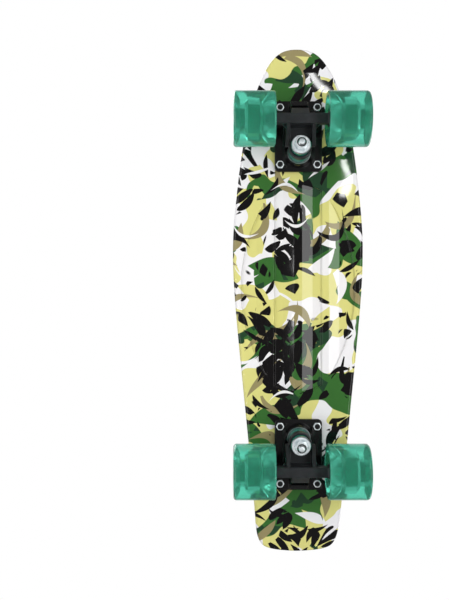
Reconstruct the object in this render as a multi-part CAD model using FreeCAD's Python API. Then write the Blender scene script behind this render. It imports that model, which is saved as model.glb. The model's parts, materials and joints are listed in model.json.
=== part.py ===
"""A 22.5 inch plastic cruiser skateboard, standing on its wheels.

Millimetres, +Z up. The nose points along -Y and the tail along +Y, and the wheels spin about X.
The origin is on the floor, under the middle of the deck's length and width. Left and right are as the
rider has them when facing the nose, so left is towards +X.

Each truck is drawn once in its own frame and placed twice, the rear one turned half round, so that both
kingpins face the middle of the board. In a truck's frame the origin is on the deck's underside at the
centre of the bolt pattern, X is across the board, the nearer end of the deck is towards -Y and the
floor is towards -Z. Most of its sizes are given as (out, down): the distance towards that end of the
deck and the distance below the deck.
"""

import math
import os

import FreeCAD
import Part

Vector = FreeCAD.Vector

# ---- driving dimensions -------------------------------------------------------------------------

# deck
deck_length = 572.0
deck_width = 146.0
deck_thickness = 9.0
deck_edge_radius = 3.4
nose_to_front_truck = 102.0
tail_to_rear_truck = 115.0
nose_bend_from_truck = 44.0
nose_bend_radius = 120.0
nose_bend_angle = 18.0
tail_bend_from_truck = 42.0
tail_bend_radius = 110.0
tail_bend_angle = 24.0

# pocket and ribs on the deck's underside, between the trucks
pocket_depth = 3.0
pocket_to_front_plate = 22.5
pocket_to_rear_plate = 39.5
pocket_side_rim = 9.0
pocket_end_half_width = 30.0
pocket_end_bulge = 9.0
centre_rib_half_top = 4.5
centre_rib_slope = 12.0
side_rib_inner = 27.0
side_rib_top = 7.5
side_rib_slope = 12.0
rib_steep_slope = 1.5
pocket_edge_radius = 0.9

# deck hardware
bolt_spacing_x = 41.3
bolt_spacing_y = 63.5
bolt_radius = 2.5
bolt_hole_clearance = 0.25
bolt_head_radius = 4.9
bolt_head_height = 2.6
bolt_head_recess = 0.3
bolt_head_clearance = 0.1
bolt_end_past_nut = 1.6
driver_slot_width = 1.0
driver_slot_length = 4.8
driver_slot_depth = 1.7
nut_across_flats = 8.0
nut_height = 3.6
nut_collar_height = 1.4
nut_collar_wall = 0.6
nut_insert_wall = 0.65
nut_thread_clearance = 0.06

# truck geometry
axle_out = 12.0
axle_down = 44.0
kingpin_out = -21.0
kingpin_lean = 8.0
pivot_out = 28.5
pivot_down = 9.5
pivot_stem_slope = 50.0

# baseplate
plate_width = 53.0
plate_length = 79.0
plate_thickness = 5.0
plate_corner_radius = 5.0
plate_edge_radius = 0.8
rail_width = 2.6
rail_height = 3.2
rail_offset = 15.4
kingpin_boss_radius = 13.4
kingpin_boss_height = 11.0
pivot_block_half_width = 10.2
pivot_block_reach = 9.0

# kingpin stack, from the deck outwards along the kingpin
kingpin_radius = 4.0
kingpin_hole_clearance = 0.15
kingpin_head_radius = 7.8
kingpin_head_height = 4.6
kingpin_past_nut = 3.2
thin_washer = 1.5
boardside_bushing_height = 13.0
boardside_bushing_radius = 11.0
roadside_bushing_height = 10.0
roadside_bushing_radius = 10.0
roadside_bushing_small_radius = 8.6
boardside_washer_radius = 12.9
roadside_washer_radius = 10.8
washer_lip = 1.2
bushing_bore_clearance = 0.35
kingpin_nut_across_flats = 13.0
kingpin_nut_height = 6.4
kingpin_collar_height = 2.0
kingpin_collar_wall = 0.8
kingpin_insert_wall = 1.2

# hanger
hanger_half_length = 41.0
beam_half_length = 30.0
beam_width = 11.4
beam_height = 13.0
beam_edge_radius = 1.4
hanger_end_radius = 8.0
ring_thickness = 8.0
ring_radius = 12.4
ring_bore_clearance = 2.65
ring_seat_depth = 0.8
ring_seat_clearance = 0.25
yoke_wall_outer = 16.2
yoke_wall_inner = 11.8
pivot_ball_radius = 4.5
pivot_stem_radius = 4.1
pivot_stem_root_radius = 6.4
pivot_stem_length = 22.0
pivot_web_half_width = 9.6
pivot_web_reach = 10.5
pivot_web_clearance = 4.0

# pivot cup
cup_wall = 1.65
cup_inner_clearance = 0.35
cup_bottom = 5.6
cup_mouth = 6.0
cup_mouth_wall = 0.6
cup_seat_clearance = 0.08

# axle, bearings and wheels, along the axle from the hanger's end outwards
axle_radius = 3.97
axle_bore_clearance = 0.03
axle_half_length = 72.9
axle_chamfer = 0.9
speed_washer_wall = 1.6
speed_washer_thickness = 1.0
bearing_bore_clearance = 0.03
bearing_width = 7.0
inner_ring_wall = 1.75
ring_gap = 3.5
outer_ring_wall = 1.75
ball_radius = 1.95
ball_groove_clearance = 0.11
balls_per_bearing = 7
cage_wall = 1.1
cage_half_width = 2.4
cage_ball_clearance = 0.1
shield_ring_clearance = 0.4
shield_seat_depth = 0.5
shield_thickness = 0.35
shield_inset = 0.35
spacer_length = 10.0
spacer_wall = 1.5
spacer_bore_clearance = 0.1
axle_nut_across_flats = 12.7
axle_nut_height = 4.0
axle_collar_height = 1.6
axle_collar_wall = 0.8
axle_insert_wall = 1.3
wheel_radius = 30.0
wheel_width = 45.0
wheel_inner_face = 28.0
wheel_corner_radius = 3.4
wheel_inner_corner_radius = 1.8
wheel_lip_radius = 24.0
wheel_hub_wall = 2.6
wheel_shoulder_depth = 1.8
wheel_core_radius = 15.7
wheel_core_length = 19.0
wheel_core_chamfer = 3.2
wheel_core_clearance = 0.02
bearing_seat_clearance = 0.02

# ---- worked-out places --------------------------------------------------------------------------

deck_bottom = wheel_radius + axle_down
deck_top = deck_bottom + deck_thickness
front_truck_y = -deck_length / 2 + nose_to_front_truck
rear_truck_y = deck_length / 2 - tail_to_rear_truck

pocket_front = front_truck_y + plate_length / 2 + pocket_to_front_plate
pocket_rear = rear_truck_y - plate_length / 2 - pocket_to_rear_plate
pocket_half_width = deck_width / 2 - pocket_side_rim
side_rib_foot = side_rib_inner + side_rib_top + side_rib_slope

washer1_start = kingpin_boss_height
bushing1_start = washer1_start + thin_washer
ring_start = bushing1_start + boardside_bushing_height - ring_seat_depth
ring_end = ring_start + ring_thickness
bushing2_start = ring_end - ring_seat_depth
washer2_start = bushing2_start + roadside_bushing_height
kingpin_nut_start = washer2_start + thin_washer
kingpin_end = kingpin_nut_start + kingpin_nut_height + kingpin_collar_height + kingpin_past_nut

bearing_bore = axle_radius + bearing_bore_clearance
inner_ring_outer_radius = bearing_bore + inner_ring_wall
ball_pitch_radius = inner_ring_outer_radius + ring_gap / 2
outer_ring_inner_radius = inner_ring_outer_radius + ring_gap
bearing_radius = outer_ring_inner_radius + outer_ring_wall
wheel_hub_radius = bearing_radius + wheel_hub_wall

nut_insert_radius = bolt_radius + nut_insert_wall
kingpin_insert_radius = kingpin_radius + kingpin_insert_wall
axle_insert_radius = axle_radius + axle_insert_wall
cup_inner_radius = pivot_ball_radius + cup_inner_clearance
cup_outer_radius = cup_inner_radius + cup_wall
cup_mouth_radius = cup_outer_radius - cup_mouth_wall

inner_bearing = hanger_half_length + speed_washer_thickness
spacer_start = inner_bearing + bearing_width
outer_bearing = spacer_start + spacer_length
outer_washer = outer_bearing + bearing_width
axle_nut_start = outer_washer + speed_washer_thickness

# The outline's half width at a share of the length from the nose, as a share of half the width.
outline_stations = [
    (0.0, 0.0),
    (0.0105, 0.292),
    (0.0385, 0.468),
    (0.0874, 0.64),
    (0.184, 0.832),
    (0.288, 0.942),
    (0.393, 1.0),
    (0.524, 0.953),
    (0.682, 0.834),
    (0.839, 0.715),
    (0.92, 0.66),
    (0.9557, 0.634),
    (0.976, 0.59),
    (0.988, 0.52),
    (0.9955, 0.37),
    (0.9985, 0.21),
    (1.0, 0.0),
]

nodes = {}


# ---- helpers ------------------------------------------------------------------------------------


def keep(name, *solids):
    """Adds finished solids to the node of that name."""
    nodes.setdefault(name, []).extend(solids)


def face_of(edges):
    return Part.Face(Part.Wire(Part.__sortEdges__(edges)))


def polygon(points):
    return Part.Face(Part.makePolygon(list(points) + [points[0]]))


def fused(shapes):
    return shapes[0].multiFuse(shapes[1:]).removeSplitter()


def cylinder(radius, start, end):
    """A cylinder from one point to another."""
    along = end.sub(start)
    return Part.makeCylinder(radius, along.Length, start, along)


def cone(start_radius, end_radius, start, end):
    along = end.sub(start)
    return Part.makeCone(start_radius, end_radius, along.Length, start, along)


def turned(profile, start, direction):
    """A solid turned about the line from start along direction. profile is (distance, radius) points."""
    axis = Vector(direction).normalize()
    across = axis.cross(Vector(1, 0, 0))
    if across.Length < 0.5:
        across = axis.cross(Vector(0, 1, 0))
    across.normalize()
    corners = [start + axis * distance + across * radius for distance, radius in profile]
    return Part.Solid(polygon(corners).revolve(start, axis, 360))


def tube(outer, inner, start, direction, length):
    return turned([(0, inner), (length, inner), (length, outer), (0, outer)], start, direction)


def hexagon(across_flats, start, direction, height):
    """A hexagonal bar with both ends' corners turned off, as on a rolled nut."""
    corner = across_flats / math.sqrt(3)
    bar = Part.makePolygon(
        [
            Vector(corner * math.cos(math.radians(60 * k)), corner * math.sin(math.radians(60 * k)), 0)
            for k in range(7)
        ]
    )
    solid = Part.Face(bar).extrude(Vector(0, 0, height))
    bevel = corner - across_flats / 2 * 0.98
    drop = bevel * math.tan(math.radians(30))
    rim = corner - bevel
    turned_bar = turned(
        [(0, 0), (0, rim), (drop, corner), (height - drop, corner), (height, rim), (height, 0)],
        Vector(0, 0, 0),
        Vector(0, 0, 1),
    )
    nut = solid.common(turned_bar)
    nut.Placement = FreeCAD.Placement(
        start, FreeCAD.Rotation(Vector(0, 0, 1), direction)
    ).multiply(nut.Placement)
    return nut


def lock_nut(across_flats, height, collar_radius, collar_height, bore, insert, start, direction):
    """The steel body of a lock nut and the plastic ring in its collar."""
    axis = Vector(direction).normalize()
    top = start + axis * height
    body = hexagon(across_flats, start, axis, height)
    body = body.fuse(cylinder(collar_radius, top, top + axis * collar_height)).removeSplitter()
    body = body.cut(cylinder(bore, start, top + axis * collar_height))
    seat = top + axis * (collar_height * 0.1)
    depth = collar_height * 0.8
    body = body.cut(cylinder(insert, seat, top + axis * collar_height))
    ring = tube(insert - 0.02, bore, seat, axis, depth)
    return body, ring


def truck_point(out, down, x=0.0):
    """A point of a truck's frame."""
    return Vector(x, -out, -down)


def side_prism(points, x_from, x_to):
    """A prism across the truck whose side view has these (out, down) corners."""
    corners = [truck_point(out, down, x_from) for out, down in points]
    return polygon(corners).extrude(Vector(x_to - x_from, 0, 0))


lean = math.radians(kingpin_lean)
kingpin_direction = truck_point(math.sin(lean), math.cos(lean))
stem_slope = math.radians(pivot_stem_slope)
stem_direction = truck_point(-math.cos(stem_slope), math.sin(stem_slope))
pivot_point = truck_point(pivot_out, pivot_down)


def on_kingpin(distance):
    """The point on the kingpin's axis at a distance from the deck."""
    return truck_point(kingpin_out, 0) + kingpin_direction * distance


ring_centre = on_kingpin((ring_start + ring_end) / 2)


# ---- deck ---------------------------------------------------------------------------------------


def bend(start_y, side, radius, angle):
    """One end of the deck seen from the side: its straight-out points and the edges below and above."""
    turn = math.radians(angle)
    past_end = deck_length * 0.2
    edges = []
    ends = []
    for height, r in ((deck_bottom, radius), (deck_top, radius - deck_thickness)):
        centre_z = height + r

        def at(t, centre_z=centre_z, r=r):
            return Vector(0, start_y + side * r * math.sin(t), centre_z - r * math.cos(t))

        tip = at(turn) + Vector(0, side * math.cos(turn), math.sin(turn)) * past_end
        edges += [
            Part.Arc(at(0), at(turn / 2), at(turn)).toShape(),
            Part.makeLine(at(turn), tip),
        ]
        ends.append(tip)
    edges.append(Part.makeLine(ends[0], ends[1]))
    return edges


def deck_side_face():
    """The deck's side view, longer than the deck at both ends."""
    nose_start = front_truck_y - nose_bend_from_truck
    tail_start = rear_truck_y + tail_bend_from_truck
    edges = bend(nose_start, -1, nose_bend_radius, nose_bend_angle)
    edges += bend(tail_start, 1, tail_bend_radius, tail_bend_angle)
    for z in (deck_bottom, deck_top):
        edges.append(Part.makeLine(Vector(0, nose_start, z), Vector(0, tail_start, z)))
    return face_of(edges)


def deck_outline():
    """The deck's outline from above: one smooth side from nose to tail, and its mirror image."""
    side = [
        Vector(half * deck_width / 2, (share - 0.5) * deck_length, 0)
        for share, half in outline_stations
    ]
    around = side + [Vector(-p.x, p.y, 0) for p in reversed(side[1:-1])]
    steps = [0.0]
    for here, there in zip(around, around[1:] + around[:1]):
        steps.append(steps[-1] + math.sqrt((there - here).Length))
    curve = Part.BSplineCurve()
    curve.interpolate(Points=around, PeriodicFlag=True, Parameters=steps)
    half = curve.toShape(steps[0], steps[len(side) - 1])
    return face_of([half, half.mirror(Vector(0, 0, 0), Vector(1, 0, 0))])


def underside_pocket():
    """The shallow hollow under the deck: what is cut away beside the three lengthwise ribs."""
    middle = (pocket_front + pocket_rear) / 2
    end = pocket_end_half_width

    def corner(x, y):
        return Vector(x, y, deck_bottom)

    field = face_of(
        [
            Part.Arc(
                corner(end, pocket_rear), corner(pocket_half_width, middle), corner(end, pocket_front)
            ).toShape(),
            Part.Arc(
                corner(end, pocket_front),
                corner(0, pocket_front - pocket_end_bulge),
                corner(-end, pocket_front),
            ).toShape(),
            Part.Arc(
                corner(-end, pocket_front), corner(-pocket_half_width, middle), corner(-end, pocket_rear)
            ).toShape(),
            Part.Arc(
                corner(-end, pocket_rear),
                corner(0, pocket_rear + pocket_end_bulge),
                corner(end, pocket_rear),
            ).toShape(),
        ]
    ).extrude(Vector(0, 0, pocket_depth))
    first_floor = centre_rib_half_top + centre_rib_slope
    side_rib_outer = side_rib_inner + side_rib_top
    far = deck_width / 2
    hollows = [
        [
            (centre_rib_half_top, 0),
            (first_floor, pocket_depth),
            (side_rib_inner - rib_steep_slope, pocket_depth),
            (side_rib_inner, 0),
        ],
        [(side_rib_outer, 0), (side_rib_foot, pocket_depth), (far, pocket_depth), (far, 0)],
    ]
    start_y = pocket_front - 2 * pocket_end_bulge
    run = pocket_rear + 2 * pocket_end_bulge - start_y
    cuts = []
    for side in (1, -1):
        for hollow in hollows:
            corners = [Vector(side * x, start_y, deck_bottom + up) for x, up in hollow]
            cuts.append(polygon(corners).extrude(Vector(0, run, 0)).common(field))
    return cuts


def pocket_edges(body):
    """Every edge of the pocket and its ribs."""
    edge_reach = pocket_half_width + 1
    found = []
    for edge in body.Edges:
        box = edge.BoundBox
        low = box.ZMax < deck_bottom + pocket_depth + 0.01
        between_the_trucks = (
            box.YMin > pocket_front - 2 * pocket_end_bulge
            and box.YMax < pocket_rear + 2 * pocket_end_bulge
        )
        if low and between_the_trucks and max(-box.XMin, box.XMax) < edge_reach:
            found.append(edge)
    return found


def bolt_places():
    """The four bolt centres of one truck, from the centre of its pattern."""
    return [
        (sx * bolt_spacing_x / 2, sy * bolt_spacing_y / 2) for sx in (-1, 1) for sy in (-1, 1)
    ]


def build_deck():
    slab = deck_side_face().extrude(Vector(deck_width * 1.2, 0, 0))
    slab.translate(Vector(-deck_width * 0.6, 0, 0))
    body = slab.common(deck_outline().extrude(Vector(0, 0, deck_top * 2))).Solids[0]
    rims = []
    for edge in body.Edges:
        across_the_deck = edge.BoundBox.YLength < 1e-3 and edge.BoundBox.XLength > 1
        upright = edge.BoundBox.XLength < 1e-3 and edge.BoundBox.YLength < 1e-3
        if not across_the_deck and not upright:
            rims.append(edge)
    body = body.makeFillet(deck_edge_radius, rims)
    for cut in underside_pocket():
        body = body.cut(cut)
    body = body.Solids[0]
    floor_strip = pocket_half_width - side_rib_foot
    radius = min(pocket_edge_radius, floor_strip * 0.4)
    body = body.makeFillet(radius, pocket_edges(body))
    hole = bolt_radius + bolt_hole_clearance
    sink_radius = bolt_head_radius + bolt_head_clearance
    sink_start = deck_top - bolt_head_recess
    for truck_y in (front_truck_y, rear_truck_y):
        for x, y in bolt_places():
            top = Vector(x, truck_y + y, deck_top)
            body = body.cut(cylinder(hole, top - Vector(0, 0, deck_thickness), top))
            sink = Vector(x, truck_y + y, sink_start)
            body = body.cut(cylinder(sink_radius, sink, top))
            drop = bolt_head_height * (sink_radius - hole) / (bolt_head_radius - bolt_radius)
            body = body.cut(cone(sink_radius, hole, sink, sink - Vector(0, 0, drop)))
    keep("deck", body)


# ---- truck pieces, in a truck's frame -----------------------------------------------------------


def deck_bolts():
    """Countersunk machine screws with a cross slot in the head."""
    bolts = []
    head_top = deck_thickness - bolt_head_recess
    tip = -(plate_thickness + nut_height + nut_collar_height + bolt_end_past_nut)
    for x, y in bolt_places():
        profile = [
            (0, 0),
            (0, bolt_head_radius),
            (bolt_head_height, bolt_radius),
            (head_top - tip - 0.5, bolt_radius),
            (head_top - tip, bolt_radius - 0.5),
            (head_top - tip, 0),
        ]
        bolt = turned(profile, Vector(x, y, head_top), Vector(0, 0, -1))
        for long_x, long_y in (
            (driver_slot_length, driver_slot_width),
            (driver_slot_width, driver_slot_length),
        ):
            corner = Vector(x - long_x / 2, y - long_y / 2, head_top - driver_slot_depth)
            bolt = bolt.cut(Part.makeBox(long_x, long_y, driver_slot_depth, corner))
        bolts.append(bolt)
    return bolts


def deck_nuts():
    pairs = [
        lock_nut(
            nut_across_flats,
            nut_height,
            nut_insert_radius + nut_collar_wall,
            nut_collar_height,
            bolt_radius + nut_thread_clearance,
            nut_insert_radius,
            Vector(x, y, -plate_thickness),
            Vector(0, 0, -1),
        )
        for x, y in bolt_places()
    ]
    return [body for body, ring in pairs], [ring for body, ring in pairs]


def baseplate():
    plate = Part.makeBox(
        plate_width,
        plate_length,
        plate_thickness,
        Vector(-plate_width / 2, -plate_length / 2, -plate_thickness),
    )
    uprights = [e for e in plate.Edges if e.BoundBox.ZLength > plate_thickness * 0.9]
    plate = plate.makeFillet(plate_corner_radius, uprights)
    lower = [e for e in plate.Edges if e.BoundBox.ZMax < -plate_thickness + 1e-3]
    plate = plate.makeFillet(plate_edge_radius, lower)

    boss = cone(
        kingpin_boss_radius + 1.6,
        kingpin_boss_radius,
        on_kingpin(plate_thickness * 0.5),
        on_kingpin(kingpin_boss_height),
    )
    boss = boss.common(
        Part.makeBox(
            plate_width, plate_length, deck_bottom, Vector(-plate_width / 2, -plate_length / 2, -deck_bottom)
        )
    )
    mouth = pivot_point + stem_direction * cup_mouth
    mouth_out, mouth_down = -mouth.y, -mouth.z
    reach_in = reach_out = pivot_block_reach
    across_out, across_down = math.sin(stem_slope), math.cos(stem_slope)
    block = side_prism(
        [
            (mouth_out - reach_in * across_out - 4.0, plate_thickness * 0.5),
            (mouth_out - reach_in * across_out, mouth_down - reach_in * across_down),
            (mouth_out + reach_out * across_out, mouth_down + reach_out * across_down),
            (plate_length / 2 - 3.0, mouth_down + 1.5),
            (plate_length / 2 - 0.6, plate_thickness * 0.5),
        ],
        -pivot_block_half_width,
        pivot_block_half_width,
    )
    long_edges = [
        e for e in block.Edges if e.BoundBox.XLength < 1e-3 and e.BoundBox.ZMin < -plate_thickness - 1
    ]
    block = block.makeFillet(1.6, long_edges)
    rails = []
    rail_end = plate_length / 2 - 4.0
    for side in (-1, 1):
        rails.append(
            side_prism(
                [
                    (-rail_end, plate_thickness * 0.5),
                    (-rail_end + 2.0, plate_thickness + rail_height),
                    (pivot_out - 13.0, plate_thickness + rail_height),
                    (pivot_out - 8.0, plate_thickness * 0.5),
                ],
                side * rail_offset - rail_width / 2,
                side * rail_offset + rail_width / 2,
            )
        )
    solid = fused([plate, boss, block] + rails)
    for x, y in bolt_places():
        foot = Vector(x, y, -plate_thickness)
        solid = solid.cut(cylinder(bolt_radius + bolt_hole_clearance, foot, Vector(x, y, 0)))
        clear = nut_across_flats / math.sqrt(3) + 0.6
        solid = solid.cut(cylinder(clear, foot, foot - Vector(0, 0, kingpin_boss_height)))
    bore = kingpin_radius + kingpin_hole_clearance
    solid = solid.cut(cylinder(bore, on_kingpin(-5), on_kingpin(kingpin_boss_height + 2)))
    pocket = kingpin_head_radius + kingpin_hole_clearance
    head_floor = kingpin_head_height + 1.2
    solid = solid.cut(cylinder(pocket, on_kingpin(-5), on_kingpin(head_floor)))
    cup_bore = cup_outer_radius + cup_seat_clearance
    seat = pivot_point - stem_direction * (cup_bottom + cup_seat_clearance)
    return solid.cut(cylinder(cup_bore, seat, mouth + stem_direction * 8.0))


def pivot_cup():
    """The soft cup that the hanger's ball sits in, a little open at its mouth."""
    body = cylinder(
        cup_outer_radius,
        pivot_point - stem_direction * cup_bottom,
        pivot_point + stem_direction * cup_mouth,
    )
    hollow = Part.makeSphere(cup_inner_radius, pivot_point)
    mouth = pivot_point + stem_direction * cup_mouth
    flare = cone(cup_inner_radius, cup_mouth_radius, pivot_point, mouth)
    return body.cut(hollow).cut(flare)


def kingpin():
    head_floor = kingpin_head_height + 1.2
    head = cylinder(kingpin_head_radius, on_kingpin(1.2), on_kingpin(head_floor))
    shank = cylinder(kingpin_radius, on_kingpin(2.0), on_kingpin(kingpin_end - 1.0))
    point = cone(kingpin_radius, kingpin_radius - 0.9, on_kingpin(kingpin_end - 1.0), on_kingpin(kingpin_end))
    head_edges = [e for e in head.Edges if e.Length > 10 and e.isClosed()]
    head = head.makeChamfer(0.5, head_edges[:1])
    above = Part.makeBox(60, 60, 20, Vector(-30, -30 - kingpin_out, -0.3))
    return fused([head, shank, point]).cut(above)


def cupped_washer(radius, start, towards):
    """A pressed washer with a low lip that holds the bushing. towards is 1 if the lip points to the floor."""
    bore = kingpin_radius + kingpin_hole_clearance
    thick = thin_washer
    profile = [
        (0, bore),
        (0, radius - 0.9),
        (washer_lip * 0.8, radius),
        (washer_lip + thick, radius),
        (washer_lip + thick, radius - 0.8),
        (thick, radius - 1.7),
        (thick, bore),
    ]
    if towards > 0:
        return turned(profile, on_kingpin(start), kingpin_direction)
    return turned(profile, on_kingpin(start + thick), kingpin_direction * -1)


def bushing(start, height, start_radius, end_radius):
    """A urethane bushing with rounded rims and a slightly full waist."""
    bore = kingpin_radius + bushing_bore_clearance
    rim = 0.9
    profile = [
        (0, bore),
        (0, start_radius - rim),
        (rim * 0.3, start_radius - rim * 0.3),
        (rim, start_radius),
        (height - rim, end_radius),
        (height - rim * 0.3, end_radius - rim * 0.3),
        (height, end_radius - rim),
        (height, bore),
    ]
    return turned(profile, on_kingpin(start), kingpin_direction)


def kingpin_nut():
    return lock_nut(
        kingpin_nut_across_flats,
        kingpin_nut_height,
        kingpin_insert_radius + kingpin_collar_wall,
        kingpin_collar_height,
        kingpin_radius + nut_thread_clearance,
        kingpin_insert_radius,
        on_kingpin(kingpin_nut_start),
        kingpin_direction,
    )


def hanger():
    half_width, half_height = beam_width / 2, beam_height / 2
    beam = Part.makeBox(
        2 * beam_half_length,
        beam_width,
        beam_height,
        truck_point(axle_out + half_width, axle_down + half_height, -beam_half_length),
    )
    beam = beam.makeFillet(beam_edge_radius, beam.Edges)
    pieces = [beam]
    for side in (-1, 1):
        root = truck_point(axle_out, axle_down, side * (beam_half_length - 1.0))
        end = truck_point(axle_out, axle_down, side * (hanger_half_length - 0.8))
        tip = truck_point(axle_out, axle_down, side * hanger_half_length)
        pieces.append(cone(hanger_end_radius + 0.6, hanger_end_radius, root, end))
        pieces.append(cone(hanger_end_radius, hanger_end_radius - 0.8, end, tip))
    pieces.append(cylinder(ring_radius, on_kingpin(ring_start), on_kingpin(ring_end)))
    ring_out, ring_down = -ring_centre.y, -ring_centre.z
    half_ring = ring_thickness / 2
    top_near = (ring_out + 1.5, ring_down - half_ring)
    low_near = (ring_out + 1.5, ring_down + half_ring)
    beam_in, beam_out_edge = axle_out - half_width + 0.6, axle_out + half_width - 0.6
    beam_top, beam_low = axle_down - half_height + 1.5, axle_down + half_height - 1.5
    stem_root = pivot_point + stem_direction * pivot_stem_length
    stem_out, stem_down = -stem_root.y, -stem_root.z
    back = (stem_out + 3.6, stem_down - 2.0)
    front = (stem_out - 5.5, stem_down - 4.0)
    for side in (-1, 1):
        inner, outer = sorted((side * yoke_wall_inner, side * yoke_wall_outer))
        wall = side_prism(
            [top_near, front, back, (beam_out_edge, beam_top), (beam_in, beam_low), low_near], inner, outer
        )
        pieces.append(wall)
        flare = Part.makePolygon(
            [
                truck_point(beam_in - 6.0, axle_down, side * (yoke_wall_outer - 0.5)),
                truck_point(beam_in + 1.0, axle_down, side * (yoke_wall_outer - 0.5)),
                truck_point(beam_in + 1.0, axle_down, side * (yoke_wall_outer + 5.5)),
                truck_point(beam_in - 6.0, axle_down, side * (yoke_wall_outer - 0.5)),
            ]
        )
        gusset = Part.Face(flare).extrude(Vector(0, 0, 1) * (half_height - 2.0))
        pieces.append(gusset)
    floor = side_prism(
        [
            top_near,
            front,
            back,
            (beam_out_edge, beam_top),
            (beam_in, beam_top),
            (beam_in - 2.5, ring_down + half_ring - 1.0),
            low_near,
        ],
        -yoke_wall_inner - 0.5,
        yoke_wall_inner + 0.5,
    )
    pieces.append(floor)
    block_low = pivot_down + cup_mouth * math.sin(stem_slope) + pivot_block_reach * math.cos(stem_slope)
    web_top = block_low + pivot_web_clearance
    web_end = beam_out_edge + pivot_web_reach
    pieces.append(
        side_prism(
            [
                (beam_out_edge - 2.0, web_top + 3.0),
                (web_end - 3.0, web_top),
                (web_end, web_top + 2.0),
                (web_end - 0.8, web_top + 6.0),
                (beam_out_edge - 2.0, axle_down + 1.0),
            ],
            -pivot_web_half_width,
            pivot_web_half_width,
        )
    )
    pieces.append(Part.makeSphere(pivot_ball_radius, pivot_point))
    neck = pivot_point + stem_direction * (cup_mouth + 3.0)
    pieces.append(cylinder(pivot_stem_radius, pivot_point, neck))
    pieces.append(cone(pivot_stem_radius, pivot_stem_root_radius, neck, stem_root))
    solid = fused(pieces)
    ring_bore = kingpin_radius + ring_bore_clearance
    solid = solid.cut(cylinder(ring_bore, on_kingpin(ring_start - 8), on_kingpin(ring_end + 8)))
    seat1 = boardside_bushing_radius + ring_seat_clearance
    seat2 = roadside_bushing_radius + ring_seat_clearance
    solid = solid.cut(cylinder(seat1, on_kingpin(ring_start - 8), on_kingpin(ring_start + ring_seat_depth)))
    solid = solid.cut(cylinder(seat2, on_kingpin(ring_end - ring_seat_depth), on_kingpin(ring_end + 12)))
    bore = axle_radius + axle_bore_clearance
    return solid.cut(cylinder(bore, axle_at(-axle_half_length), axle_at(axle_half_length)))


def axle_at(x):
    return truck_point(axle_out, axle_down, x)


def axle():
    profile = [
        (0, 0),
        (0, axle_radius - axle_chamfer),
        (axle_chamfer, axle_radius),
        (2 * axle_half_length - axle_chamfer, axle_radius),
        (2 * axle_half_length, axle_radius - axle_chamfer),
        (2 * axle_half_length, 0),
    ]
    return turned(profile, axle_at(-axle_half_length), Vector(1, 0, 0))


def along_axle(side, distance):
    """A point on the axle and the outward direction on that side."""
    return axle_at(side * distance), Vector(side, 0, 0)


def wheel(side):
    """The cast outer part of a wheel: flat tread, rounded edges, a dish each side and the core's seat."""
    start, outward = along_axle(side, 0)
    inner, outer = wheel_inner_face, wheel_inner_face + wheel_width
    seat = bearing_radius + bearing_seat_clearance
    core_end = inner_bearing + wheel_core_length
    core_room = wheel_core_radius + wheel_core_clearance
    profile = [
        (inner_bearing, core_room - wheel_core_chamfer),
        (inner_bearing, wheel_hub_radius),
        (inner + 1.6, wheel_lip_radius),
        (inner, wheel_lip_radius + 1.6),
        (inner, wheel_radius),
        (outer, wheel_radius),
        (outer, wheel_lip_radius),
        (outer - 1.2, wheel_lip_radius - 1.4),
        (outer_washer, wheel_hub_radius),
        (outer_washer, seat),
        (core_end + wheel_core_clearance, seat),
        (core_end + wheel_core_clearance, core_room - wheel_core_chamfer),
        (core_end + wheel_core_clearance - wheel_core_chamfer, core_room),
        (inner_bearing + wheel_core_chamfer, core_room),
    ]
    solid = turned(profile, start, outward)
    for x, radius in ((inner, wheel_inner_corner_radius), (outer, wheel_corner_radius)):
        rim = [
            e
            for e in solid.Edges
            if abs(e.BoundBox.Center.x - side * x) < 1e-3
            and abs(e.BoundBox.YLength / 2 - wheel_radius) < 1e-2
            and e.BoundBox.XLength < 1e-3
        ]
        solid = solid.makeFillet(radius, rim)
    return solid


def wheel_core(side):
    """The harder ring that the wheel is cast round, with the inner bearing's seat and both shoulders."""
    start, outward = along_axle(side, 0)
    seat = bearing_radius + bearing_seat_clearance
    shoulder = bearing_radius - wheel_shoulder_depth
    core_end = inner_bearing + wheel_core_length
    profile = [
        (inner_bearing, seat),
        (inner_bearing, wheel_core_radius - wheel_core_chamfer),
        (inner_bearing + wheel_core_chamfer, wheel_core_radius),
        (core_end - wheel_core_chamfer, wheel_core_radius),
        (core_end, wheel_core_radius - wheel_core_chamfer),
        (core_end, seat),
        (outer_bearing, seat),
        (outer_bearing, shoulder),
        (spacer_start, shoulder),
        (spacer_start, seat),
    ]
    return turned(profile, start, outward)


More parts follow.
